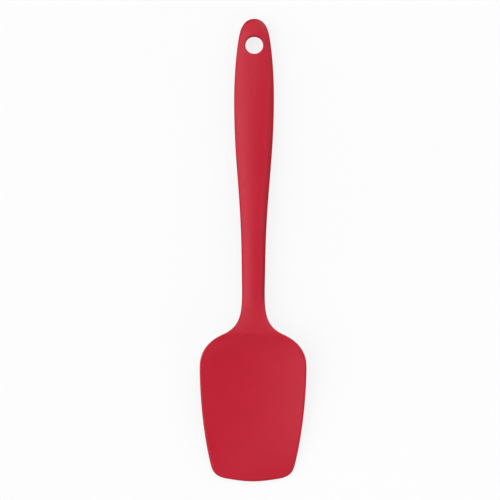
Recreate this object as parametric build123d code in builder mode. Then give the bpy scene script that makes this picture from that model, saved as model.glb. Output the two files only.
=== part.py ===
from math import cos, radians, sin, sqrt
import os

from build123d import *

# Silicone spoon spatula, lying on its back: the handle runs along +Y, the scooped face looks up +Z.
# It rests on the underside of the blade, near its tip, and on the underside of the grip. Sizes in mm.

# Lengths of the outline's stretches, from the blade's tip to the end of the handle
tip_edge_rise = 1.5
tip_corner_length = 8.4
blade_side_length = 59.7
shoulder_length = 19.6
neck_length = 24.8
throat_length = 19.4
taper_length = 98.8
eye_length = 38.0
cap_length = 9.8

# Widths of the outline where those stretches meet
tip_edge_width = 29.8
tip_corner_width = 50.7
blade_width = 64.3
shoulder_width = 37.0
neck_width = 13.6
throat_width = 14.2
grip_width = 23.96
eye_width = 17.9

# Thicknesses on the centre line, and of the rim. The blade's tip is as thick as the rim
blade_thickness = 4.2
brow_thickness = 8.0
neck_thickness = 9.5
grip_thickness = 12.5
eye_thickness = 9.6
rim_thickness = 2.8
handle_rim_thickness = 4.2

# Heights of the front face above the resting plane, and of the middle of the grip
brow_height = 14.5
neck_height = 13.5
grip_axis_height = 6.3
dish_depth = 4.2
brow_lead = 0.6

# Rounding of the edges
handle_rim_round = 1.65
cap_overhang = 1.0
hole_round = 0.8

# Hanging hole
hole_diameter = 10.8
hole_from_end = 16.0
hole_lining = 1.4
hole_seam_degrees = 20

# Steel strip through the neck
spine_width = 7.0
spine_thickness = 3.0
spine_start_from_brow = 2.0
spine_end_from_grip = 6.0
spine_corner_round = 1.5
spine_hole_diameter = 3.0
spine_hole_from_end = 6.0

# Nylon plate inside the blade, and the root that grips the strip
blade_wall = 1.15
side_lip = 8.0
tip_lip = 15.0
plate_edge_thickness = 1.0
root_width = 9.6
root_edge_thickness = 3.6
root_from_brow = 13.5
plate_hole_diameter = 5.0
plate_hole_pitch = 17.0
plate_hole_spread = 12.0
plate_hole_from_brow = 22.0
plate_hole_rows = 3

# Nylon core inside the handle
grip_wall = 2.0
core_start_from_neck = 36.0
window_diameter = 5.0
window_from_core_start = 13.2
window_past_spine = 5.0
window_count = 5

# How full the cross-sections are: a parabola in the blade, an oval in the handle
blade_fullness_share = 1 / 3
handle_fullness_share = 0.52

# Limits of a rim's rounding, as shares of the half width and of the rim's half thickness
widest_reach_share = 0.72
steepest_lead_share = 0.62
core_rim_share = 0.6

# Where the blade thickens, as shares of its length to the brow
tip_swell_share = 0.6
root_swell_share = 0.4

# How far the dish leans towards the brow, and how flat its floor is between its steeper ends
dish_lean_share = 1.8
dish_flat_share = 4

# Places along the outline
tip_corner_place = tip_edge_rise + tip_corner_length
blade_widest_place = tip_corner_place + blade_side_length
shoulder_place = blade_widest_place + shoulder_length
neck_place = shoulder_place + neck_length
throat_place = neck_place + throat_length
grip_place = throat_place + taper_length
eye_place = grip_place + eye_length
tool_length = eye_place + cap_length
brow_place = shoulder_place - brow_lead
hole_place = tool_length - hole_from_end

# Outline knots: width, place and heading, where 0 degrees runs outward and 90 runs along the handle
outline_knots = (
    (0, 0, 0),
    (tip_edge_width, tip_edge_rise, 9),
    (tip_corner_width, tip_corner_place, 76),
    (blade_width, blade_widest_place, 90),
    (shoulder_width, shoulder_place, 156),
    (neck_width, neck_place, 90),
    (throat_width, throat_place, 89.2),
    (grip_width, grip_place, 90),
    (eye_width, eye_place, 101.4),
    (0, tool_length, 180),
)

# How far the curve keeps each knot's heading, as shares of the chord: leaving one knot, reaching the next
lead_shares = (
    (0.29, 0.49),
    (0.48, 0.41),
    (0.34, 0.26),
    (0.44, 0.33),
    (0.40, 0.50),
    (0.26, 0.50),
    (0.44, 0.40),
    (0.31, 0.26),
    (0.50, 0.34),
)

# Cross-sections of the body, as shares of the way from one place to the next
tip_shares = (0.005, 0.02, 0.05, 0.10, 0.17, 0.27, 0.42, 0.65)
blade_shares = (0.0, 0.08, 0.19, 0.34, 0.49, 0.64, 0.79, 0.93)
shoulder_shares = (0.05, 0.19, 0.30, 0.39, 0.48, 0.57, 0.68, 0.84)
handle_shares = (0.02, 0.12, 0.25, 0.41, 0.57, 0.74, 0.90)
cap_shares = (0.04, 0.35, 0.54, 0.665, 0.76, 0.833, 0.885, 0.925, 0.954, 0.975, 0.987, 0.996, 0.999)

# Cross-sections of the nylon pieces, in the same way
plate_tip_shares = (0.15, 0.28, 0.48, 0.75)
plate_side_shares = (0.05, 0.20, 0.40, 0.60, 0.80, 0.95)
plate_shoulder_shares = (0.10, 0.20, 0.29, 0.37, 0.45, 0.52)
root_shares = (0.15, 0.4, 0.7, 1.0)
core_handle_shares = (0.0, 0.15, 0.38, 0.62, 0.86)
core_cap_shares = (0.04, 0.35, 0.54, 0.665, 0.76, 0.833, 0.885, 0.925, 0.954, 0.975)

# Steps of the search for a place along a curve
halvings = 50


def ease(share):
    """Smooth step from 0 to 1."""
    share = min(1.0, max(0.0, share))
    return share * share * (3 - 2 * share)


def cubic(points, t):
    """Point on a cubic curve, and its rate of change."""
    weights = ((1 - t) ** 3, 3 * t * (1 - t) ** 2, 3 * t * t * (1 - t), t**3)
    rates = (-3 * (1 - t) ** 2, 3 * (1 - t) * (1 - 3 * t), 3 * t * (2 - 3 * t), 3 * t * t)
    point = [sum(w * p[axis] for w, p in zip(weights, points)) for axis in (0, 1)]
    rate = [sum(w * p[axis] for w, p in zip(rates, points)) for axis in (0, 1)]
    return point, rate


def outline_arcs():
    """Cubic curves of the right half of the outline, as (half width, place) points."""
    arcs = []
    for start, end, (leave, reach) in zip(outline_knots, outline_knots[1:], lead_shares):
        x0, y0, x3, y3 = start[0] / 2, start[1], end[0] / 2, end[1]
        chord = sqrt((x3 - x0) ** 2 + (y3 - y0) ** 2)
        leaving, reaching = radians(start[2]), radians(end[2])
        second = (x0 + leave * chord * cos(leaving), y0 + leave * chord * sin(leaving))
        third = (x3 - reach * chord * cos(reaching), y3 - reach * chord * sin(reaching))
        arcs.append(((x0, y0), second, third, (x3, y3)))
    return arcs


body_arcs = outline_arcs()


def outline_at(place):
    """Half width of the outline at a place, and how fast it widens there."""
    arc = next(arc for arc in body_arcs if place <= arc[3][1])
    low, high = 0.0, 1.0
    for _ in range(halvings):
        middle = (low + high) / 2
        if cubic(arc, middle)[0][1] < place:
            low = middle
        else:
            high = middle
    point, rate = cubic(arc, low)
    return point[0], rate[0] / rate[1]


def places_between(start, end, shares):
    """Places at the given shares of the way from start to end."""
    return [start + (end - start) * share for share in shares]


def blade_profile(place):
    """Heights of the front face, the back face and the middle of the rim, from tip to brow."""
    share = place / brow_place
    rim_top = rim_thickness + (brow_height - rim_thickness) * share
    front = rim_top - dish_depth * (1 - abs(2 * share**dish_lean_share - 1) ** dish_flat_share)
    swelling = (blade_thickness - rim_thickness) * ease(share / tip_swell_share)
    thickening = (brow_thickness - blade_thickness) * ease((share - 1) / root_swell_share + 1)
    return front, front - rim_thickness - swelling - thickening, rim_top - rim_thickness / 2


def handle_profile(place):
    """The same heights from the brow to the end of the handle."""
    neck_axis_height = neck_height - neck_thickness / 2
    to_neck = ease((place - brow_place) / (neck_place - brow_place))
    if place <= neck_place:
        front = brow_height + (neck_height - brow_height) * to_neck
        thickness = brow_thickness + (neck_thickness - brow_thickness) * to_neck
        rim = (brow_height - rim_thickness / 2) * (1 - to_neck) + neck_axis_height * to_neck
        return front, front - thickness, rim
    to_grip = (place - neck_place) / (grip_place - neck_place)
    axis = neck_axis_height + (grip_axis_height - neck_axis_height) * to_grip
    thickness = neck_thickness + (grip_thickness - neck_thickness) * ease(to_grip)
    thickness += (eye_thickness - grip_thickness) * ease((place - grip_place) / (hole_place - grip_place))
    if place > hole_place:
        to_end = (place - hole_place) / (hole_from_end + cap_overhang)
        thickness = rim_thickness + (eye_thickness - rim_thickness) * sqrt(1 - to_end**3)
    return axis + thickness / 2, axis - thickness / 2, axis


def body_shape(place):
    """Size and form of the body's cross-section at a place."""
    front, back, rim = blade_profile(place) if place <= brow_place else handle_profile(place)
    half_width, widening = outline_at(place)
    rounding = rim_thickness / 2
    from_end = min(1.0, min(place, tool_length - place) / rounding)
    fade = sqrt(1 - (1 - from_end) ** 2)
    handle_share = ease((place - brow_place) / neck_length)
    axis = (front + back) / 2
    rim_rounding = rounding + (handle_rim_round - rounding) * handle_share
    rim_half = rounding + (handle_rim_thickness / 2 - rounding) * handle_share
    rim_half += (rounding - rim_half) * ease((place - hole_place) / hole_from_end)
    return {
        "half_width": half_width,
        "reach": min(widest_reach_share * half_width, rim_rounding * sqrt(1 + widening**2)),
        "fullness": blade_fullness_share + (handle_fullness_share - blade_fullness_share) * handle_share,
        "front": axis + (front - axis) * fade,
        "back": axis + (back - axis) * fade,
        "rim_front": axis + (rim - axis + rim_half) * fade,
        "rim_back": axis + (rim - axis - rim_half) * fade,
    }


def oval_curves(half_width, reach, fullness, front, back, rim_front, rim_back):
    """Cubic curves round a cross-section: front face, right rim, back face and left rim.

    The faces end short of the outline by reach, and each rim leaves them along their own
    direction and touches the outline at its middle.
    """
    rim_half = (rim_front - rim_back) / 2
    for rise in (front - rim_front, rim_back - back):
        steepness = 4 / 3 * rise / ((1 - fullness) * (half_width - reach / 2))
        if steepness > 0:
            reach = min(reach, steepest_lead_share * rim_half / steepness)
    corner = half_width - reach
    crown = fullness * corner
    front_pull = (4 * front - rim_front) / 3
    back_pull = (4 * back - rim_back) / 3
    bulge = corner + 4 / 3 * reach
    lead = (bulge - corner) / (corner - crown)
    front_lead = rim_front + lead * (rim_front - front_pull)
    back_lead = rim_back + lead * (rim_back - back_pull)
    return (
        ((-corner, rim_front), (-crown, front_pull), (crown, front_pull), (corner, rim_front)),
        ((corner, rim_front), (bulge, front_lead), (bulge, back_lead), (corner, rim_back)),
        ((corner, rim_back), (crown, back_pull), (-crown, back_pull), (-corner, rim_back)),
        ((-corner, rim_back), (-bulge, back_lead), (-bulge, front_lead), (-corner, rim_front)),
    )


def across(place, edges):
    """Face square to the handle at a place, bounded by edges drawn as (across, height)."""
    return Plane.XZ.offset(tool_length / 2 - place) * make_face(edges)


def body_section(place):
    """Cross-section of the whole tool."""
    return across(place, [Bezier(*points) for points in oval_curves(**body_shape(place))])


def inset(outer_place, lip):
    """Place and half width of the point that lies one lip inside the outline, square to it."""
    half_width, widening = outline_at(outer_place)
    stretch = sqrt(1 + widening**2)
    return outer_place + lip * widening / stretch, half_width - lip / stretch


def core_section(outer_place):
    """Cross-section of the handle's core, one wall inside the body."""
    place, half_width = inset(outer_place, grip_wall)
    shape = body_shape(place)
    shape["half_width"] = half_width
    shape["reach"] = min(widest_reach_share * half_width, shape["reach"])
    shape["front"] -= grip_wall
    shape["back"] += grip_wall
    axis = (shape["rim_front"] + shape["rim_back"]) / 2
    for side in ("rim_front", "rim_back"):
        shape[side] = axis + core_rim_share * (shape[side] - axis)
    return across(place, [Bezier(*points) for points in oval_curves(**shape)])


def plate_section(place, half_width, edge_thickness):
    """Cross-section of the blade's plate: it follows both faces one wall inside them."""
    shape = body_shape(place)
    bow = (half_width / (shape["half_width"] - shape["reach"])) ** 2
    front_edge = shape["front"] + (shape["rim_front"] - shape["front"]) * bow
    back_edge = shape["back"] + (shape["rim_back"] - shape["back"]) * bow
    top = (front_edge + back_edge + edge_thickness) / 2
    bottom = top - edge_thickness
    front_pull = (4 * (shape["front"] - blade_wall) - top) / 3
    back_pull = (4 * (shape["back"] + blade_wall) - bottom) / 3
    crown = half_width * blade_fullness_share
    edges = [
        Bezier((-half_width, top), (-crown, front_pull), (crown, front_pull), (half_width, top)),
        Line((half_width, top), (half_width, bottom)),
        Bezier((half_width, bottom), (crown, back_pull), (-crown, back_pull), (-half_width, bottom)),
        Line((-half_width, bottom), (-half_width, top)),
    ]
    return across(place, edges)


def plate_sections():
    """Cross-sections of the blade's plate and its root, from the tip towards the handle."""
    spots = []
    outer_places = places_between(0, tip_corner_place, plate_tip_shares)
    outer_places += places_between(tip_corner_place, blade_widest_place, plate_side_shares)
    for outer_place in outer_places:
        shift = tip_lip * (1 - outer_place / blade_widest_place)
        spots.append((outer_place + shift, outline_at(outer_place)[0] - side_lip))
    for outer_place in places_between(blade_widest_place, neck_place, plate_shoulder_shares):
        spots.append(inset(outer_place, side_lip))
    for place in places_between(brow_place, brow_place + root_from_brow, root_shares):
        spots.append((place, root_width / 2))
    sections = []
    for place, half_width in spots:
        root_share = ease((place - blade_widest_place) / (brow_place - blade_widest_place))
        edge_thickness = plate_edge_thickness + (root_edge_thickness - plate_edge_thickness) * root_share
        sections.append(plate_section(place, half_width, edge_thickness))
    return sections


core_start = neck_place + core_start_from_neck
body_places = places_between(0, tip_corner_place, tip_shares)
body_places += places_between(tip_corner_place, blade_widest_place, blade_shares)
body_places += places_between(blade_widest_place, neck_place, shoulder_shares)
body_places += places_between(neck_place, grip_place, handle_shares)
body_places += places_between(grip_place, tool_length, cap_shares)
core_places = places_between(core_start, grip_place, core_handle_shares)
core_places += places_between(grip_place, tool_length, core_cap_shares)

body_sections = [body_section(place) for place in body_places]
core_sections = [core_section(place) for place in core_places]
blade_plate_sections = plate_sections()

# Steel strip: straight through the handle, with a slight bend at the neck towards the brow
spine_start = brow_place + spine_start_from_brow
spine_end = grip_place - spine_end_from_grip
spine_axis = []
for place in (spine_start, neck_place, spine_end):
    shape = body_shape(place)
    spine_axis.append((place - tool_length / 2, (shape["front"] + shape["back"]) / 2))
spine_top = [(y, z + spine_thickness / 2) for y, z in spine_axis]
spine_bottom = [(y, z - spine_thickness / 2) for y, z in reversed(spine_axis)]

with BuildPart() as steel_spine:
    with BuildSketch(Plane.YZ):
        with BuildLine():
            Polyline(*spine_top, *spine_bottom, close=True)
        make_face()
    extrude(amount=spine_width / 2, both=True)
    fillet(steel_spine.edges().filter_by(Axis.Z), radius=spine_corner_round)
    with Locations(
        (0, spine_start + spine_hole_from_end - tool_length / 2),
        (0, spine_end - spine_hole_from_end - tool_length / 2),
    ):
        Hole(radius=spine_hole_diameter / 2)

# The hanging hole stands upright. Its round walls start to the side, clear of the lines of symmetry
hanging_hole = Location((0, hole_place - tool_length / 2, 0), (0, 0, hole_seam_degrees))

# Nylon core of the handle, with the ring round the hanging hole and windows that the silicone fills.
# The last window lies past the end of the strip, and the others are spread back to the core's start
first_window = core_start + window_from_core_start
last_window = spine_end + window_past_spine
window_pitch = (last_window - first_window) / (window_count - 1)
window_spots = [(0, first_window + i * window_pitch - tool_length / 2) for i in range(window_count)]
with BuildPart() as grip_core:
    loft(core_sections)
    with Locations(hanging_hole):
        Hole(radius=hole_diameter / 2 + hole_lining)
    with Locations(*window_spots):
        Hole(radius=window_diameter / 2)
    add(steel_spine.part, mode=Mode.SUBTRACT)

# Nylon plate of the blade, with rows of holes that tie the silicone's two faces together
plate_hole_spots = []
for row in range(plate_hole_rows):
    y = brow_place - plate_hole_from_brow - row * plate_hole_pitch - tool_length / 2
    plate_hole_spots += [(column * plate_hole_spread, y) for column in (-1, 0, 1)]
with BuildPart() as blade_core:
    loft(blade_plate_sections)
    with Locations(*plate_hole_spots):
        Hole(radius=plate_hole_diameter / 2)
    add(steel_spine.part, mode=Mode.SUBTRACT)

# Silicone moulded over the strip and the nylon in one seamless piece
with BuildPart() as silicone_skin:
    loft(body_sections)
    with Locations(hanging_hole):
        Hole(radius=hole_diameter / 2)
    bore = silicone_skin.faces().filter_by(GeomType.CYLINDER)
    fillet(bore.edges().filter_by(GeomType.LINE, reverse=True), radius=hole_round)
    for piece in (steel_spine, grip_core, blade_core):
        add(piece.part, mode=Mode.SUBTRACT)

os.makedirs("parts", exist_ok=True)
silicone_skin.part.label = "silicone_skin"
export_step(silicone_skin.part, "parts/silicone_skin.step")
steel_spine.part.label = "steel_spine"
export_step(steel_spine.part, "parts/steel_spine.step")
grip_core.part.label = "grip_core"
export_step(grip_core.part, "parts/grip_core.step")
blade_core.part.label = "blade_core"
export_step(blade_core.part, "parts/blade_core.step")
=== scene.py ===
from math import cos, pi, radians, sin

import bmesh
import bpy
import numpy as np
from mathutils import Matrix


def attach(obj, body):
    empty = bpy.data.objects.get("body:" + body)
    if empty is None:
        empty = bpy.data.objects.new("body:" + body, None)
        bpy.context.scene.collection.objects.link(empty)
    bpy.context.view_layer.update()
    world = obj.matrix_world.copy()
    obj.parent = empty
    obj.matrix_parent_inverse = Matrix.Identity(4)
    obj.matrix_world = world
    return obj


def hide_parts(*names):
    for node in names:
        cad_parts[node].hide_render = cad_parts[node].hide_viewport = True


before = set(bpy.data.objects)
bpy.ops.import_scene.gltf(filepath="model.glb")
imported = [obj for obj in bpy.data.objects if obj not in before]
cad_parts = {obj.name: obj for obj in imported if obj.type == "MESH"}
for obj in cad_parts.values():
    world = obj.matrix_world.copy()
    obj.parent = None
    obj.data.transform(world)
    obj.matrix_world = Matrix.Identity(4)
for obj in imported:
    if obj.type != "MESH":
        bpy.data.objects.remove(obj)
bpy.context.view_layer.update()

# Red silicone spoon spatula, lying on its back on a pale floor, seen from straight above.
# The outer surface of the silicone is modelled here as one mesh with its mould line and rounded hole.
# The steel strip and the two nylon cores inside it are the CAD parts themselves.
# The tool's own sizes are in mm, along the handle from the blade's tip. Everything else is in metres.
mm = 0.001

# Lengths of the outline's stretches, from the blade's tip to the end of the handle
tip_edge_rise = 1.5
tip_corner_length = 8.4
blade_side_length = 59.7
shoulder_length = 19.6
neck_length = 24.8
throat_length = 19.4
taper_length = 98.8
eye_length = 38.0
cap_length = 9.8

# Widths of the outline where those stretches meet
tip_edge_width = 29.8
tip_corner_width = 50.7
blade_width = 64.3
shoulder_width = 37.0
neck_width = 13.6
throat_width = 14.2
grip_width = 23.96
eye_width = 17.9

# Thicknesses on the centre line, and of the rim. The blade's tip is as thick as the rim
blade_thickness = 4.2
brow_thickness = 8.0
neck_thickness = 9.5
grip_thickness = 12.5
eye_thickness = 9.6
rim_thickness = 2.8
handle_rim_thickness = 4.2

# Heights of the front face above the floor, and of the middle of the grip
brow_height = 14.5
neck_height = 13.5
grip_axis_height = 6.3
dish_depth = 4.2
brow_lead = 0.6

# How softly the dish turns into the brow, and the rim with it: four times the height that the turn cuts off
brow_softness = 1.6
rim_softness = 0.4

# Rounding of the edges, and the hanging hole
handle_rim_round = 1.65
cap_overhang = 1.0
hole_diameter = 10.8
hole_from_end = 16.0
hole_round = 0.8

# Fine raised line where the halves of the mould met, and its height halfway down its sides
mould_line_height = 0.07
mould_line_half_width = 0.2
mould_line_side_share = 0.75

# Forms of the cross-sections, as shares of their widths and heights
blade_fullness_share = 1 / 3
handle_fullness_share = 0.52
widest_reach_share = 0.72
steepest_lead_share = 0.62
tip_swell_share = 0.6
root_swell_share = 0.4
dish_lean_share = 1.8
dish_flat_share = 4

# Places along the outline
tip_corner_place = tip_edge_rise + tip_corner_length
blade_widest_place = tip_corner_place + blade_side_length
shoulder_place = blade_widest_place + shoulder_length
neck_place = shoulder_place + neck_length
throat_place = neck_place + throat_length
grip_place = throat_place + taper_length
eye_place = grip_place + eye_length
tool_length = eye_place + cap_length
brow_place = shoulder_place - brow_lead
hole_place = tool_length - hole_from_end

# Outline knots: width, place and heading, where 0 degrees runs outward and 90 runs along the handle
outline_knots = (
    (0, 0, 0),
    (tip_edge_width, tip_edge_rise, 9),
    (tip_corner_width, tip_corner_place, 76),
    (blade_width, blade_widest_place, 90),
    (shoulder_width, shoulder_place, 156),
    (neck_width, neck_place, 90),
    (throat_width, throat_place, 89.2),
    (grip_width, grip_place, 90),
    (eye_width, eye_place, 101.4),
    (0, tool_length, 180),
)

# How far the curve keeps each knot's heading, as shares of the chord: leaving one knot, reaching the next
lead_shares = (
    (0.29, 0.49),
    (0.48, 0.41),
    (0.34, 0.26),
    (0.44, 0.33),
    (0.40, 0.50),
    (0.26, 0.50),
    (0.44, 0.40),
    (0.31, 0.26),
    (0.50, 0.34),
)

# Divisions of each of those stretches in the mesh, and points per division where the lengths are measured.
# Each face is filled by a grid, with corners halfway along the tip corners and near the middle of the cap
stretch_divisions = (12, 16, 48, 22, 26, 16, 72, 44, 36)
outline_fineness = 40
tip_half_columns = stretch_divisions[0] + stretch_divisions[1] // 2

# Rows of the rim: where they lie on its rounding, and how far and in how many rows it goes on inward
rim_turn_degrees = (14, 24, 35, 46, 57, 68, 79, 90)
rim_band = 3.0
rim_band_rows = 4

# How far from the tip and from the cap the grid's rows still bend along with them
tip_blend = 26.0
cap_blend = 9.0

# Half the length of the grid's block that makes way for the hole, and the rings and rows that fill it
hole_block = 7.6
hole_rings = 3
hole_round_rows = 6
hole_wall_rows = 5

# How near to an edge the last of those rings and the hole's wall count, where 1 is on an edge
hole_ring_nearness = 0.5
hole_wall_nearness = 0.6

# Sizes of the finishes' features, and how many times longer some are along the handle
silicone_cloud_size = 26 * mm
silicone_mottle_size = 2.4 * mm
silicone_grain_size = 0.35 * mm
steel_cloud_size = 9 * mm
steel_line_size = 0.12 * mm
steel_line_stretch = 120.0
nylon_cloud_size = 7 * mm
nylon_grain_size = 0.3 * mm
nylon_fleck_size = 0.25 * mm
nylon_fleck_stretch = 6.0
floor_cloud_size = 0.3
noise_roughness = 0.55

# The range in which most of a noise texture's values lie, and the higher one in which the flecks show
noise_middle = (0.3, 0.7)
fleck_range = (0.62, 0.74)

# Bumps: depth in metres, and strength
silicone_mottle_bump = (0.02 * mm, 0.25)
silicone_grain_bump = (0.012 * mm, 0.5)
steel_line_bump = (0.006 * mm, 0.5)
nylon_cloud_bump = (0.05 * mm, 0.3)
nylon_grain_bump = (0.02 * mm, 0.5)

# Roughness of the surfaces, from their smoothest to their roughest spots, and what each texture adds to it
silicone_roughness = (0.46, 0.54)
silicone_cloud_roughness = (-0.02, 0.03)
silicone_edge_polish = 0.07
steel_roughness = (0.22, 0.36)
steel_cloud_roughness = (0.0, 0.08)
nylon_roughness = (0.5, 0.6)
nylon_fleck_roughness = (0.0, 0.08)
floor_roughness = 0.9

# How the surfaces reflect
silicone_ior = 1.41
silicone_specular = 0.42
silicone_sheen = 0.03
silicone_sheen_roughness = 0.4
steel_anisotropy = 0.6

# How far the specks, the edges' wear and painted sheen, and the flecks cover the colour below them
speck_shares = (0.0, 0.35)
edge_wear_and_sheen_shares = (0.05, 0.3)
fleck_shares = (0.0, 0.6)

# Colours, as linear light
silicone_deep = (0.505, 0.0065, 0.026, 1.0)
silicone_light = (0.535, 0.0075, 0.028, 1.0)
silicone_speck = (0.47, 0.006, 0.024, 1.0)
# Lighter red of the edges: part wear, part painted sheen
silicone_wear_and_sheen_edge = (0.55, 0.012, 0.033, 1.0)
steel_dark = (0.42, 0.43, 0.44, 1.0)
steel_bright = (0.64, 0.65, 0.66, 1.0)
nylon_dark = (0.012, 0.012, 0.014, 1.0)
nylon_grey = (0.026, 0.026, 0.028, 1.0)
nylon_fleck = (0.11, 0.11, 0.11, 1.0)
floor_dim = (0.15, 0.15, 0.15, 1.0)
floor_bright = (0.17, 0.17, 0.17, 1.0)
floor_glow = (1.0, 1.0, 1.0, 1.0)
floor_glow_strength = 0.82

# Floor, which bends up into a backdrop far away
floor_reach = 6.0
backdrop_bend = 2.0
backdrop_top = 5.0
backdrop_steps = 8
backdrop_sides = 64

# Brightness of the room in each direction, by how far it points up: -1 is straight down, 1 straight up
room_levels = (
    (-1.0, 0.12),
    (-0.04, 0.12),
    (0.0, 0.70),
    (0.12, 0.60),
    (0.25, 0.38),
    (0.38, 0.12),
    (0.5, 0.0),
    (1.0, 0.0),
)

# Soft lights: heading and rise above the floor, in degrees, and strength
light_width_degrees = 60
soft_lights = {
    "left": (180, 40, 1.26),
    "low_left": (180, 10, 0.98),
    "left_front": (225, 40, 0.66),
    "back": (90, 60, 1.25),
    "right_back": (45, 10, 1.72),
    "right_front": (315, 10, 1.80),
}

# Camera: its lens in mm, the nearest distance it sees, and the height at which the scale is true
lens = 200.0
sensor = 36.0
nearest_seen = 0.01
outline_height = 0.004

# How the tool stands in the photograph's frame, in pixels: the frame's size, the tool's length and offsets
photo_size = 500
photo_length = 462.5
photo_shift = 3.5
photo_rise = 0.35
photo_turn_degrees = 0.2

# Steps of the searches along a curve
halvings = 50
refinements = 8

# Least distance from the tool's ends, and least slope, that the heights are worked out for
least_step = 1e-6

# Points of the CAD part that lie closer than this are one, in metres
merge_distance = 0.001 * mm


def ease(share):
    """Smooth step from 0 to 1."""
    share = np.clip(share, 0.0, 1.0)
    return share * share * (3 - 2 * share)


def smooth_least(first, second, softness):
    """The lesser of two heights, with the corner where they cross rounded off."""
    share = np.clip(0.5 + 0.5 * (second - first) / softness, 0.0, 1.0)
    return second + (first - second) * share - softness * share * (1 - share)


def outline_arcs():
    """Cubic curves of the right half of the outline, as (half width, place) points."""
    arcs = []
    for start, end, (leave, reach) in zip(outline_knots, outline_knots[1:], lead_shares):
        first = np.array((start[0] / 2, start[1]))
        last = np.array((end[0] / 2, end[1]))
        chord = np.linalg.norm(last - first)
        leaving, reaching = radians(start[2]), radians(end[2])
        second = first + leave * chord * np.array((cos(leaving), sin(leaving)))
        third = last - reach * chord * np.array((cos(reaching), sin(reaching)))
        arcs.append((first, second, third, last))
    return arcs


def along_arc(arc, share):
    """Points of a cubic curve, and their rates of change."""
    first, second, third, last = arc
    t = np.asarray(share)[:, None]
    s = 1 - t
    point = s**3 * first + 3 * t * s**2 * second + 3 * t**2 * s * third + t**3 * last
    rate = 3 * s**2 * (second - first) + 6 * t * s * (third - second) + 3 * t**2 * (last - third)
    return point, rate


body_arcs = outline_arcs()


def outline_at(place):
    """Half width of the outline at each place, and how fast it widens there."""
    half_width = np.zeros_like(place)
    widening = np.zeros_like(place)
    for arc in body_arcs:
        here = (place >= arc[0][1]) & (place <= arc[3][1])
        low = np.zeros(here.sum())
        high = np.ones(here.sum())
        for _ in range(halvings):
            middle = (low + high) / 2
            short = along_arc(arc, middle)[0][:, 1] < place[here]
            low = np.where(short, middle, low)
            high = np.where(short, high, middle)
        point, rate = along_arc(arc, (low + high) / 2)
        half_width[here] = point[:, 0]
        widening[here] = rate[:, 0] / rate[:, 1]
    return half_width, widening


def profile(place):
    """Heights of the front face, the back face and the middle of the rim along the centre line."""

    # The blade up to the brow, and the brow up to the neck, joined by a soft turn
    share = place / brow_place
    rim_top = rim_thickness + (brow_height - rim_thickness) * share
    blade_front = rim_top - dish_depth * (1 - np.abs(2 * share**dish_lean_share - 1) ** dish_flat_share)
    blade_rim = rim_top - rim_thickness / 2
    to_neck = ease((place - brow_place) / (neck_place - brow_place))
    neck_axis_height = neck_height - neck_thickness / 2
    brow_front = brow_height + (neck_height - brow_height) * to_neck
    brow_rim = (brow_height - rim_thickness / 2) * (1 - to_neck) + neck_axis_height * to_neck
    swelling = (blade_thickness - rim_thickness) * ease(share / tip_swell_share)
    thickening = (brow_thickness - blade_thickness) * ease((share - 1) / root_swell_share + 1)
    thickness = rim_thickness + swelling + thickening + (neck_thickness - brow_thickness) * to_neck
    front = smooth_least(blade_front, brow_front, brow_softness)
    rim = smooth_least(blade_rim, brow_rim, rim_softness)

    # The handle from the neck to the hole, and the cap beyond it
    to_grip = (place - neck_place) / (grip_place - neck_place)
    axis = neck_axis_height + (grip_axis_height - neck_axis_height) * to_grip
    handle = neck_thickness + (grip_thickness - neck_thickness) * ease(to_grip)
    handle += (eye_thickness - grip_thickness) * ease((place - grip_place) / (hole_place - grip_place))
    to_end = np.clip((place - hole_place) / (hole_from_end + cap_overhang), 0.0, 1.0)
    cap = rim_thickness + (eye_thickness - rim_thickness) * np.sqrt(1 - to_end**3)
    handle = np.where(place > hole_place, cap, handle)
    in_blade = place <= neck_place
    return (
        np.where(in_blade, front, axis + handle / 2),
        np.where(in_blade, front - thickness, axis - handle / 2),
        np.where(in_blade, rim, axis),
    )


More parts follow.
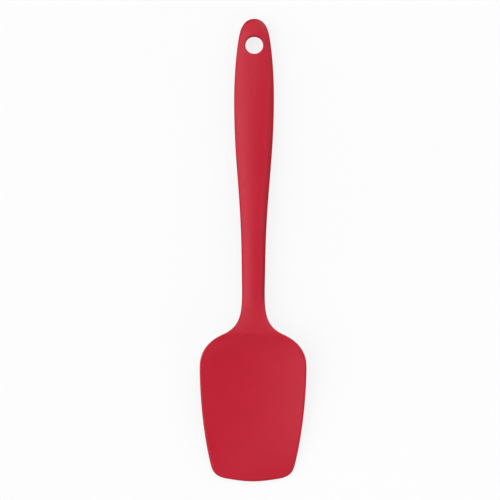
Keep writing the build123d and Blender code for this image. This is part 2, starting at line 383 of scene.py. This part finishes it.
def height(across, place, side):
    """Height of the front surface (side 1) or the back surface (side -1) over points inside the outline."""
    place = np.clip(place, least_step, tool_length - least_step)
    half_width, widening = outline_at(place)
    front, back, rim = profile(place)

    # The section fades into a round nose at both ends of the tool
    rounding = rim_thickness / 2
    from_end = np.clip(np.minimum(place, tool_length - place) / rounding, 0.0, 1.0)
    fade = np.sqrt(1 - (1 - from_end) ** 2)
    handle_share = ease((place - brow_place) / neck_length)
    axis = (front + back) / 2
    rim_half = rounding + (handle_rim_thickness / 2 - rounding) * handle_share
    rim_half += (rounding - rim_half) * ease((place - hole_place) / hole_from_end)
    front, back, rim = (axis + (level - axis) * fade for level in (front, back, rim))
    rim_half = rim_half * fade
    rim_levels = {1: rim + rim_half, -1: rim - rim_half}
    face_levels = {1: front, -1: back}

    # The faces end short of the outline by the rim's reach, which is limited where they arrive steeply
    fullness = blade_fullness_share + (handle_fullness_share - blade_fullness_share) * handle_share
    rim_rounding = rounding + (handle_rim_round - rounding) * handle_share
    reach = np.minimum(widest_reach_share * half_width, rim_rounding * np.sqrt(1 + widening**2))
    for way in (1, -1):
        rise = way * (face_levels[way] - rim_levels[way])
        steepness = 4 / 3 * rise / ((1 - fullness) * (half_width - reach / 2))
        limit = steepest_lead_share * rim_half / np.maximum(steepness, least_step)
        reach = np.where(steepness > 0, np.minimum(reach, limit), reach)
    corner = half_width - reach

    # Over a face, u runs from 0 on the centre line to 1 at the corner
    share = np.clip(np.abs(across) / corner, 0.0, 1.0)
    linear, cubed = 3 * (1 + fullness) / 4, (1 - 3 * fullness) / 4
    u = share.copy()
    for _ in range(refinements):
        u -= (u * (linear + cubed * u * u) - share) / (linear + 3 * cubed * u * u)
    over_face = face_levels[side] + (rim_levels[side] - face_levels[side]) * u * u

    # Over the rim, t runs from 0 at the corner to 0.5 on the outline. It leaves both faces along their slope
    past_corner = np.clip((np.abs(across) - corner) / reach, 0.0, 1.0)
    t = (1 - np.sqrt(1 - past_corner)) / 2
    lead = 4 / 3 * reach / (corner * (1 - fullness))
    leads = {}
    for way in (1, -1):
        pull = (4 * face_levels[way] - rim_levels[way]) / 3
        leads[way] = rim_levels[way] + lead * (rim_levels[way] - pull)
    near = rim_levels[side] * (1 - t) ** 3 + leads[side] * 3 * t * (1 - t) ** 2
    far = leads[-side] * 3 * t**2 * (1 - t) + rim_levels[-side] * t**3
    return np.where(np.abs(across) > corner, near + far, over_face)


def outline_points():
    """Points of the right half of the outline from tip to end, with their outward directions."""
    points, outward = [], []
    for arc, divisions in zip(body_arcs, stretch_divisions):
        fine = np.linspace(0.0, 1.0, outline_fineness * divisions + 1)
        run = along_arc(arc, fine)[0]
        length = np.concatenate(([0.0], np.cumsum(np.linalg.norm(np.diff(run, axis=0), axis=1))))
        even = np.interp(np.linspace(0.0, length[-1], divisions + 1), length, fine)
        point, rate = along_arc(arc, even)
        rate /= np.linalg.norm(rate, axis=1)[:, None]

        # The last point of a stretch is the first of the next
        used = len(point) if arc is body_arcs[-1] else len(point) - 1
        points.append(point[:used])
        outward.append(np.stack((rate[:, 1], -rate[:, 0]), axis=1)[:used])
    return np.concatenate(points), np.concatenate(outward)


def round_loop(half):
    """The whole outline as a loop that starts at the grid's lower left corner, from its right half."""
    mirrored = half * (-1, 1)
    return np.concatenate((mirrored[tip_half_columns:0:-1], half, mirrored[-2:tip_half_columns:-1]))


class Surface:
    """Points and faces of a mesh, in mm, with each point's nearness to an edge from 0 to 1."""

    def __init__(self):
        self.points = []
        self.nearness = []
        self.faces = []

    def add(self, across, place, level, nearness=0.0):
        """Add an array of points, and give their numbers."""
        across, place, level, nearness = np.broadcast_arrays(across, place, level, nearness)
        start = len(self.points)
        self.points += list(zip(across.ravel(), place.ravel(), level.ravel()))
        self.nearness += list(nearness.ravel())
        return np.arange(start, start + across.size).reshape(across.shape)

    def join(self, rows, closed):
        """Fill the strips between neighbouring rows of points with four-sided faces."""
        columns = rows[0].size
        steps = columns if closed else columns - 1
        for lower, upper in zip(rows, rows[1:]):
            for i in range(steps):
                j = (i + 1) % columns
                self.faces.append((lower[i], lower[j], upper[j], upper[i]))


def rim_rows(surface, points, outward):
    """Rows of the rim, from the mould line in its middle inwards over the front and over the back."""
    rounding = rim_thickness / 2

    # Depths of the rows: halfway down the mould line's side, at its foot, over the rounding and over the band
    line = np.array((0.5, 1.0)) * mould_line_half_width / rounding
    turns = np.concatenate((np.arcsin(line), np.radians(rim_turn_degrees)))
    band = np.linspace(rounding, rim_band, rim_band_rows + 1)[1:]
    depths = np.concatenate((rounding * (1 - np.cos(turns)), band))
    bulges = np.zeros(len(depths))
    bulges[0] = mould_line_height * mould_line_side_share

    # Both sides share the row on the line's crest
    crest = points + outward * mould_line_height
    middle = height(points[:, 0], points[:, 1], 1)
    rows = {1: [surface.add(crest[:, 0], crest[:, 1], middle, 1.0)]}
    rows[-1] = list(rows[1])
    for side in (1, -1):
        for depth, bulge in zip(depths, bulges):
            inner = points - outward * depth
            level = height(inner[:, 0], inner[:, 1], side)
            inner = inner + outward * bulge
            nearness = 1 - ease(depth / rim_band)
            rows[side].append(surface.add(inner[:, 0], inner[:, 1], level, nearness))
    return rows


def grid_places(loop):
    """Places of a grid of four-sided faces inside a loop, as rows and columns of across and of place."""
    columns = 2 * tip_half_columns
    count = len(loop) // 2 - columns
    lower = loop[: columns + 1]
    right = loop[columns : columns + count + 1]
    upper = loop[columns + count : 2 * columns + count + 1][::-1]
    left = np.concatenate((loop[2 * columns + count :], loop[:1]))[::-1]

    # Rows are straight and evenly divided, and near the tip and the cap they take on the outline's shape
    from_tip = 1 - ease((right[:, 1] - right[0, 1]) / tip_blend)
    from_cap = 1 - ease((right[-1, 1] - right[:, 1]) / cap_blend)
    even = np.linspace(0.0, 1.0, columns + 1)
    shares = even[None, :] * (1 - from_tip - from_cap)[:, None]
    bends = np.zeros((count + 1, columns + 1))
    for side, weight in ((lower, from_tip), (upper, from_cap)):
        side_share = (side[:, 0] - side[0, 0]) / (side[-1, 0] - side[0, 0])
        shares = shares + weight[:, None] * side_share[None, :]
        bends += weight[:, None] * (side[:, 1] - side[0, 1])[None, :]
    across = left[:, :1] + (right[:, :1] - left[:, :1]) * shares
    place = left[:, 1:] + bends
    return across, place


def face_grid(surface, loop_numbers, loop, side):
    """Fill one face inside the rim, apart from a block round the hole. Returns the block's loop."""
    across, place = grid_places(loop)
    count, columns = across.shape[0] - 1, across.shape[1] - 1
    numbers = np.full(across.shape, -1)
    numbers[0] = loop_numbers[: columns + 1]
    numbers[:, -1] = loop_numbers[columns : columns + count + 1]
    numbers[-1] = loop_numbers[columns + count : 2 * columns + count + 1][::-1]
    numbers[1:-1, 0] = loop_numbers[2 * columns + count + 1 :][::-1]

    # The rows near the hole keep only their ends, which the block's loop runs through
    near_hole = np.abs(place[:, 0] - hole_place) < hole_block
    first, last = np.flatnonzero(near_hole)[[0, -1]]
    for rows in (slice(1, first + 1), slice(last, count)):
        inner = rows, slice(1, columns)
        level = height(across[inner], place[inner], side)
        numbers[inner] = surface.add(across[inner], place[inner], level)
    surface.join(numbers[: first + 1], closed=False)
    surface.join(numbers[last:], closed=False)
    block_sides = (
        numbers[first, :-1],
        numbers[first:last, -1],
        numbers[last, :0:-1],
        numbers[last:first:-1, 0],
    )
    return np.concatenate(block_sides)


def hole_surface(surface, block_loops):
    """Rings from each face's block to the hole, its rounded edges and its wall with the mould line."""
    radius = hole_diameter / 2
    ends = {}
    for side, loop in block_loops.items():
        outer = np.array([surface.points[number][:2] for number in loop])
        arm = outer - (0, hole_place)
        distance = np.linalg.norm(arm, axis=1)
        direction = arm / distance[:, None]
        rows = [loop]
        for ring in range(1, hole_rings + 1):
            reach = distance + (radius + hole_round - distance) * ring / hole_rings
            spot = direction * reach[:, None] + (0, hole_place)
            level = height(spot[:, 0], spot[:, 1], side)
            nearness = hole_ring_nearness * ease(ring / hole_rings)
            rows.append(surface.add(spot[:, 0], spot[:, 1], level, nearness))
        for turn in np.linspace(0.0, pi / 2, hole_round_rows + 1)[1:]:
            reach = radius + hole_round * (1 - sin(turn))
            spot = direction * reach + (0, hole_place)
            level = height(spot[:, 0], spot[:, 1], side) - side * hole_round * (1 - cos(turn))
            rows.append(surface.add(spot[:, 0], spot[:, 1], level, 1.0))
        surface.join(rows, closed=True)
        ends[side] = rows[-1], direction, level

    # The wall runs down from the front's rounding to the back's, with the mould line halfway
    numbers, direction, top = ends[1]
    bottom = ends[-1][2]
    half_line = mould_line_half_width / np.abs(top - bottom).mean()
    wall = np.linspace(0.0, 0.5 - half_line, hole_wall_rows)[1:]
    shares = (*wall, 0.5 - half_line / 2, 0.5, 0.5 + half_line / 2, *(1 - wall[::-1]))
    level_wall = [0.0] * len(wall)
    rises = (*level_wall, mould_line_side_share, 1.0, mould_line_side_share, *level_wall)
    rows = [numbers]
    for share, rise in zip(shares, rises):
        reach = radius - mould_line_height * rise
        spot = direction * reach + (0, hole_place)
        level = top + (bottom - top) * share
        rows.append(surface.add(spot[:, 0], spot[:, 1], level, hole_wall_nearness))
    surface.join(rows + [ends[-1][0]], closed=True)


def cavity_faces(skin, tool):
    """Copy the walls of the cavities inside the CAD silicone: its closed shells that aren't the outside."""
    inner = bmesh.new()
    inner.from_mesh(skin.data)
    bmesh.ops.remove_doubles(inner, verts=inner.verts, dist=merge_distance)

    # Gather the closed shells. The outside is the one that reaches furthest to the right
    waiting = set(inner.verts)
    shells = []
    while waiting:
        shell, border = set(), [waiting.pop()]
        while border:
            vertex = border.pop()
            shell.add(vertex)
            for edge in vertex.link_edges:
                other = edge.other_vert(vertex)
                if other in waiting:
                    waiting.discard(other)
                    border.append(other)
        shells.append(shell)
    outside = max(shells, key=lambda shell: max(vertex.co.x for vertex in shell))
    bmesh.ops.delete(inner, geom=list(outside), context="VERTS")
    copied = {vertex: tool.verts.new(vertex.co) for vertex in inner.verts}
    for face in inner.faces:
        tool.faces.new([copied[vertex] for vertex in face.verts])
    inner.free()


def silicone_piece():
    """The whole silicone moulding: its outer surface, and inside it the cavities of the CAD part."""
    half, outward = outline_points()
    loop, loop_outward = round_loop(half), round_loop(outward)
    surface = Surface()
    rows = rim_rows(surface, loop, loop_outward)
    blocks = {}
    for side in (1, -1):
        surface.join(rows[side], closed=True)
        inner = np.array([surface.points[number][:2] for number in rows[side][-1]])
        blocks[side] = face_grid(surface, rows[side][-1], inner, side)
    hole_surface(surface, blocks)

    tool = bmesh.new()
    layer = tool.verts.layers.float.new("edge_nearness")
    vertices = []
    for (across, place, level), nearness in zip(surface.points, surface.nearness):
        vertex = tool.verts.new((across * mm, (place - tool_length / 2) * mm, level * mm))
        vertex[layer] = nearness
        vertices.append(vertex)
    for face in surface.faces:
        tool.faces.new([vertices[number] for number in face])
    bmesh.ops.recalc_face_normals(tool, faces=tool.faces)
    cavity_faces(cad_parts["silicone_skin"], tool)
    mesh = bpy.data.meshes.new("silicone_spatula")
    tool.to_mesh(mesh)
    tool.free()
    mesh.shade_smooth()
    piece = bpy.data.objects.new("silicone_spatula", mesh)
    bpy.context.scene.collection.objects.link(piece)
    return piece


def add_node(tree, kind, inputs=None, **settings):
    """Add a node. Inputs are given by name or number, as plain values or as sockets to link from."""
    node = tree.nodes.new(kind)
    for name, value in settings.items():
        setattr(node, name, value)
    for name, value in (inputs or {}).items():
        if isinstance(value, bpy.types.NodeSocket):
            tree.links.new(value, node.inputs[name])
        else:
            node.inputs[name].default_value = value
    return node


def new_material(name):
    """A node material: its tree, its shader, and object coordinates in metres."""
    material = bpy.data.materials.new(name)
    material.use_nodes = True
    tree = material.node_tree
    coordinates = add_node(tree, "ShaderNodeTexCoord").outputs["Object"]
    return material, tree, tree.nodes["Principled BSDF"], coordinates


def noise(tree, coordinates, size, detail=2.0, stretch=(1.0, 1.0, 1.0)):
    """Noise whose features are about one size across, in metres, and longer along stretched axes."""
    scale = [1 / (size * length) for length in stretch]
    mapping = add_node(tree, "ShaderNodeMapping", {"Vector": coordinates, "Scale": scale})
    inputs = {
        "Vector": mapping.outputs["Vector"],
        "Scale": 1.0,
        "Detail": detail,
        "Roughness": noise_roughness,
    }
    return add_node(tree, "ShaderNodeTexNoise", inputs).outputs["Fac"]


def spread(tree, value, results, values=noise_middle):
    """Map a range of values to a range of results, both given by their ends."""
    inputs = {
        "Value": value,
        "From Min": values[0],
        "From Max": values[1],
        "To Min": results[0],
        "To Max": results[1],
    }
    return add_node(tree, "ShaderNodeMapRange", inputs).outputs["Result"]


def blend_colours(tree, share, first, second):
    """Mix two colours by a share."""
    inputs = {0: share, 6: first, 7: second}
    return add_node(tree, "ShaderNodeMix", inputs, data_type="RGBA").outputs[2]


def combine(tree, operation, first, second):
    """Arithmetic on two values."""
    return add_node(tree, "ShaderNodeMath", {0: first, 1: second}, operation=operation).outputs["Value"]


def raise_bumps(tree, shader, layers):
    """Stack bumps, each of a texture with its depth in metres and strength, and give them to the shader."""
    normal = None
    for value, (distance, strength) in layers:
        inputs = {"Height": value, "Distance": distance, "Strength": strength}
        if normal:
            inputs["Normal"] = normal
        normal = add_node(tree, "ShaderNodeBump", inputs).outputs["Normal"]
    tree.links.new(normal, shader.inputs["Normal"])


def silicone_finish():
    """Matte-moulded red silicone: even pigment, a fine eroded grain, and slightly polished edges painted
    lighter, part wear and part painted sheen.
    """
    material, tree, shader, coordinates = new_material("red_silicone")
    clouds = noise(tree, coordinates, silicone_cloud_size, detail=3.0)
    mottle = noise(tree, coordinates, silicone_mottle_size, detail=4.0)
    grain = noise(tree, coordinates, silicone_grain_size, detail=3.0)
    edge = add_node(tree, "ShaderNodeAttribute", attribute_name="edge_nearness").outputs["Fac"]

    body = blend_colours(tree, spread(tree, clouds, (0.0, 1.0)), silicone_deep, silicone_light)
    speckled = blend_colours(tree, spread(tree, mottle, speck_shares), body, silicone_speck)
    # Edges are painted lighter in patches: part wear, part painted sheen
    worn_and_sheen = combine(tree, "MULTIPLY", edge, spread(tree, mottle, edge_wear_and_sheen_shares))
    tree.links.new(blend_colours(tree, worn_and_sheen, speckled, silicone_wear_and_sheen_edge), shader.inputs["Base Color"])

    mottle_roughness = spread(tree, mottle, silicone_roughness)
    satin = combine(tree, "ADD", mottle_roughness, spread(tree, clouds, silicone_cloud_roughness))
    polish = combine(tree, "MULTIPLY", edge, silicone_edge_polish)
    tree.links.new(combine(tree, "SUBTRACT", satin, polish), shader.inputs["Roughness"])
    shader.inputs["IOR"].default_value = silicone_ior
    shader.inputs["Specular IOR Level"].default_value = silicone_specular
    shader.inputs["Sheen Weight"].default_value = silicone_sheen
    shader.inputs["Sheen Roughness"].default_value = silicone_sheen_roughness
    raise_bumps(tree, shader, ((mottle, silicone_mottle_bump), (grain, silicone_grain_bump)))
    return material


def steel_finish():
    """Rolled stainless strip: fine lines along its length, and cloudy reflections."""
    material, tree, shader, coordinates = new_material("rolled_steel")
    lines = noise(tree, coordinates, steel_line_size, detail=3.0, stretch=(1.0, steel_line_stretch, 1.0))
    clouds = noise(tree, coordinates, steel_cloud_size, detail=3.0)
    colour = blend_colours(tree, spread(tree, lines, (0.0, 1.0)), steel_dark, steel_bright)
    tree.links.new(colour, shader.inputs["Base Color"])
    line_roughness = spread(tree, lines, steel_roughness)
    roughness = combine(tree, "ADD", line_roughness, spread(tree, clouds, steel_cloud_roughness))
    tree.links.new(roughness, shader.inputs["Roughness"])
    shader.inputs["Metallic"].default_value = 1.0
    shader.inputs["Anisotropic"].default_value = steel_anisotropy
    raise_bumps(tree, shader, ((lines, steel_line_bump),))
    return material


def nylon_finish():
    """Glass-filled nylon as moulded: charcoal, with pale fibre flecks along the flow and a dull skin."""
    material, tree, shader, coordinates = new_material("filled_nylon")
    flecks = noise(tree, coordinates, nylon_fleck_size, stretch=(1.0, nylon_fleck_stretch, 1.0))
    clouds = noise(tree, coordinates, nylon_cloud_size, detail=4.0)
    grain = noise(tree, coordinates, nylon_grain_size, detail=3.0)
    body = blend_colours(tree, spread(tree, clouds, (0.0, 1.0)), nylon_dark, nylon_grey)
    shown = spread(tree, flecks, fleck_shares, fleck_range)
    tree.links.new(blend_colours(tree, shown, body, nylon_fleck), shader.inputs["Base Color"])
    cloud_roughness = spread(tree, clouds, nylon_roughness)
    roughness = combine(tree, "ADD", cloud_roughness, spread(tree, flecks, nylon_fleck_roughness))
    tree.links.new(roughness, shader.inputs["Roughness"])
    raise_bumps(tree, shader, ((clouds, nylon_cloud_bump), (grain, nylon_grain_bump)))
    return material


def floor_finish():
    """Pale painted board with a barely uneven surface, and a glow of its own that keeps it nearly white."""
    material, tree, shader, coordinates = new_material("pale_floor")
    clouds = noise(tree, coordinates, floor_cloud_size)
    tree.links.new(blend_colours(tree, clouds, floor_dim, floor_bright), shader.inputs["Base Color"])
    shader.inputs["Roughness"].default_value = floor_roughness
    shader.inputs["Specular IOR Level"].default_value = 0.0
    shader.inputs["Emission Color"].default_value = floor_glow
    shader.inputs["Emission Strength"].default_value = floor_glow_strength
    return material


def floor():
    """A wide round floor, level with the tool's underside, that curves up far away into a backdrop."""
    bends = [radians(90 * step / backdrop_steps) for step in range(backdrop_steps + 1)]
    section = [(floor_reach + backdrop_bend * sin(bend), backdrop_bend * (1 - cos(bend))) for bend in bends]
    section.append((floor_reach + backdrop_bend, backdrop_top))
    turns = [radians(360 * side / backdrop_sides) for side in range(backdrop_sides)]
    corners = [(reach * cos(turn), reach * sin(turn), rise) for reach, rise in section for turn in turns]
    faces = [range(backdrop_sides)]
    for ring in range(len(section) - 1):
        near, far = ring * backdrop_sides, (ring + 1) * backdrop_sides
        for side in range(backdrop_sides):
            following = (side + 1) % backdrop_sides
            faces.append((near + side, far + side, far + following, near + following))
    mesh = bpy.data.meshes.new("floor")
    mesh.from_pydata(corners, [], faces)
    mesh.shade_smooth()
    mesh.materials.append(floor_finish())
    board = bpy.data.objects.new("floor", mesh)
    board.visible_diffuse = False
    board.visible_glossy = False
    bpy.context.scene.collection.objects.link(board)


def soft_light(name, heading, rise, strength):
    """A wide distant light, like a large box of light, that shines on the tool from a heading and a rise."""
    data = bpy.data.lights.new(name, "SUN")
    data.energy = strength
    data.angle = radians(light_width_degrees)
    light = bpy.data.objects.new(name, data)
    light.rotation_euler = (0.0, radians(90 - rise), radians(heading))
    bpy.context.scene.collection.objects.link(light)


def studio():
    """A dim room, brightest just above the horizon, with soft lights round the tool."""
    world = bpy.data.worlds.new("studio")
    bpy.context.scene.world = world
    world.use_nodes = True
    tree = world.node_tree
    direction = add_node(tree, "ShaderNodeTexCoord").outputs["Generated"]
    upward = add_node(tree, "ShaderNodeSeparateXYZ", {"Vector": direction}).outputs["Z"]
    place = spread(tree, upward, (0.0, 1.0), (-1.0, 1.0))
    ramp = add_node(tree, "ShaderNodeValToRGB", {"Fac": place})
    ramp.color_ramp.interpolation = "EASE"
    stops = ramp.color_ramp.elements
    for stop, (_, level) in zip(stops, (room_levels[0], room_levels[-1])):
        stop.color = (level, level, level, 1.0)
    for rise, level in room_levels[1:-1]:
        stops.new((rise + 1) / 2).color = (level, level, level, 1.0)
    tree.links.new(ramp.outputs["Color"], tree.nodes["Background"].inputs["Color"])
    for name, setting in soft_lights.items():
        soft_light(name, *setting)
    bpy.context.scene.view_settings.view_transform = "Standard"


def camera():
    """A long lens straight above, turned and set a little aside so that the tool stands as photographed."""
    data = bpy.data.cameras.new("camera")
    data.lens = lens
    data.sensor_width = sensor
    data.clip_start = nearest_seen
    pixel = tool_length * mm / photo_length
    distance = photo_size * pixel * lens / sensor
    eye = bpy.data.objects.new("camera", data)
    eye.location = (-photo_shift * pixel, photo_rise * pixel, outline_height + distance)
    eye.rotation_euler = (0.0, 0.0, radians(photo_turn_degrees))
    bpy.context.scene.collection.objects.link(eye)
    bpy.context.scene.camera = eye


spatula = silicone_piece()
spatula.data.materials.append(silicone_finish())
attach(spatula, "root")
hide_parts("silicone_skin")

nylon = nylon_finish()
finishes = {"steel_spine": steel_finish(), "grip_core": nylon, "blade_core": nylon}
for node, finish in finishes.items():
    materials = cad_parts[node].data.materials
    materials.clear()
    materials.append(finish)

floor()
studio()
camera()
